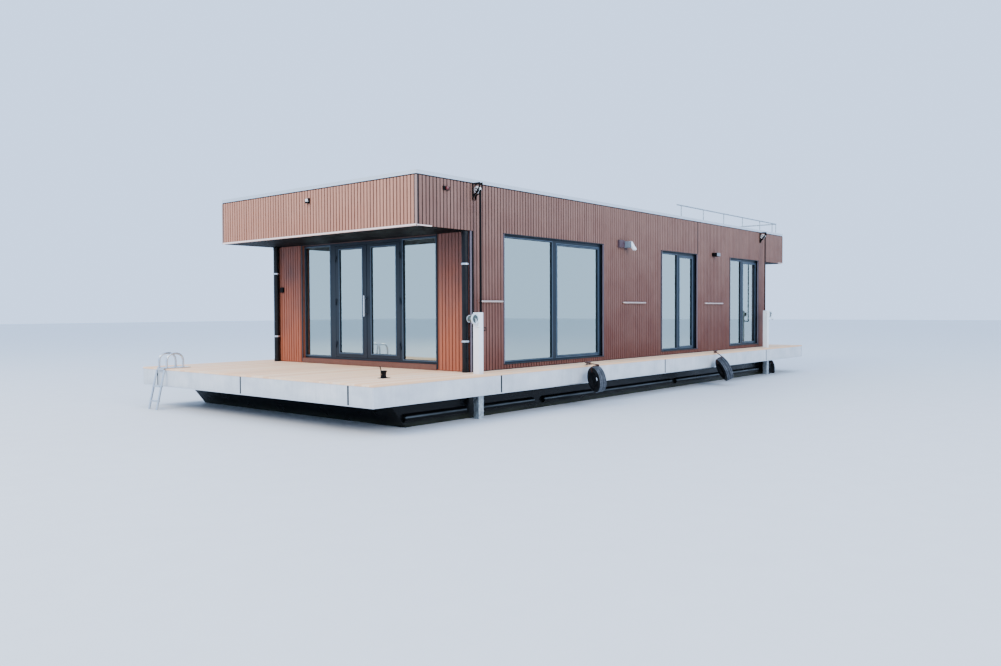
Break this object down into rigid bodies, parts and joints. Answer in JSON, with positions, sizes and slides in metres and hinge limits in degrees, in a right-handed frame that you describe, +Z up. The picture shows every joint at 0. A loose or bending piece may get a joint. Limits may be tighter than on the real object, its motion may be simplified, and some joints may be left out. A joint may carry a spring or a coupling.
{
  "type": "flat-bottomed houseboat",
  "caption": "Flat-bottomed steel houseboat with a ribbed timber cabin, canopies over both terraces, glazed double doors, spud poles, bathing ladder, fenders and outboard.",
  "frame": {"origin": "on the flat hull bottom, on the centre line, halfway along the deck", "axes": "+X forward to the front terrace and the bathing ladder, +Y to port, +Z up"},
  "size_m": [15.2879, 6.4926, 4.484],
  "materials": {
    "hull": "semi-gloss black hull paint",
    "frame": "matt black primer and paint",
    "fascia": "satin light grey coated sheet",
    "boards": "weathered, unfinished",
    "cladding": "matt stained ribbed boards",
    "roof": "matt roofing sheet",
    "trim": "mill finish",
    "frames": "matt anthracite coating",
    "glass": "clear double glazing",
    "steel": "stainless, satin",
    "white": "satin white paint",
    "galvanised": "hot-dip zinc coating",
    "black": "matt black",
    "rubber": "weathered moulded rubber",
    "inside": "matt painted panels",
    "wood": "satin varnish"
  },
  "bodies": {
    "boat": {"hull": "hull", "deck_frame": "frame", "deck_boards": "boards", "deck_fascia": "fascia", "wall_port": "cladding", "wall_starboard": "cladding", "wall_front": "cladding", "wall_rear": "cladding", "canopy_front": "cladding", "canopy_rear": "cladding", "roof_panel": "roof", "roof_edge_trim": "trim", "ceiling": "inside", "cabin_floor": "wood", "window_frame_saloon_port": "frames", "window_glass_saloon_port": "glass", "window_frame_middle_port": "frames", "window_glass_middle_port": "glass", "window_frame_rear_port": "frames", "window_glass_rear_port": "glass", "window_frame_saloon_starboard": "frames", "window_glass_saloon_starboard": "glass", "window_frame_middle_starboard": "frames", "window_glass_middle_starboard": "glass", "window_frame_rear_starboard": "frames", "window_glass_rear_starboard": "glass", "front_glazing_frame": "frames", "front_fixed_glass_port": "glass", "front_fixed_glass_starboard": "glass", "cabin_partition": "inside", "kitchen_unit": "inside", "downpipe_port": "black", "downpipe_starboard": "black", "spud_post_front": "white", "spud_tackle_front": "black", "spud_winch_front": "steel", "spud_post_rear": "white", "spud_tackle_rear": "black", "spud_winch_rear": "steel", "fender_wheel_front": "rubber", "fender_wheel_middle": "rubber", "fender_wheel_stern": "rubber", "ladder_handrails": "steel", "roof_rail_port": "galvanised", "roof_rail_starboard": "galvanised", "roof_rail_stern": "galvanised", "floodlight": "black"},
    "door_port": {"door_leaf_port": "frames", "door_glass_port": "glass"},
    "door_starboard": {"door_leaf_starboard": "frames", "door_glass_starboard": "glass", "door_pull_handle": "steel"},
    "rear_door": {"rear_door_leaf": "frames", "rear_door_glass": "glass"},
    "spud_front": {"spud_pole_front": "galvanised"},
    "spud_rear": {"spud_pole_rear": "galvanised"},
    "ladder": {"swim_ladder": "steel"},
    "outboard": {"outboard_motor": "black"},
    "screw": {"propeller": "galvanised"}
  },
  "joints": [
    {"name": "door_port", "type": "hinge", "parent": "boat", "child": "door_port", "pos_m": [5.057, 0.869, 2.36], "axis": [0, 0, 1], "range_deg": [0, 100]},
    {"name": "door_starboard", "type": "hinge", "parent": "boat", "child": "door_starboard", "pos_m": [5.057, -0.799, 2.36], "axis": [0, 0, -1], "range_deg": [0, 100]},
    {"name": "rear_door", "type": "hinge", "parent": "boat", "child": "rear_door", "pos_m": [-6.262, 0.45, 2.3], "axis": [0, 0, -1], "range_deg": [0, 100]},
    {"name": "spud_front_lift", "type": "slide", "parent": "boat", "child": "spud_front", "axis": [0, 0, 1], "range_m": [-0.75, 1.5]},
    {"name": "spud_rear_lift", "type": "slide", "parent": "boat", "child": "spud_rear", "axis": [0, 0, 1], "range_m": [-0.75, 1.5]},
    {"name": "ladder_fold", "type": "hinge", "parent": "boat", "child": "ladder", "pos_m": [7.555, -2.325, 1.22], "axis": [0, -1, 0], "range_deg": [0, 165]},
    {"name": "outboard_steer", "type": "hinge", "parent": "boat", "child": "outboard", "pos_m": [-6.33, 0, 0.56], "axis": [0, 0, 1], "range_deg": [-35, 35]},
    {"name": "propeller_spin", "type": "hinge", "parent": "outboard", "child": "screw", "pos_m": [-6.69, 0, 0.225], "axis": [1, 0, 0], "continuous": true}
  ]
}
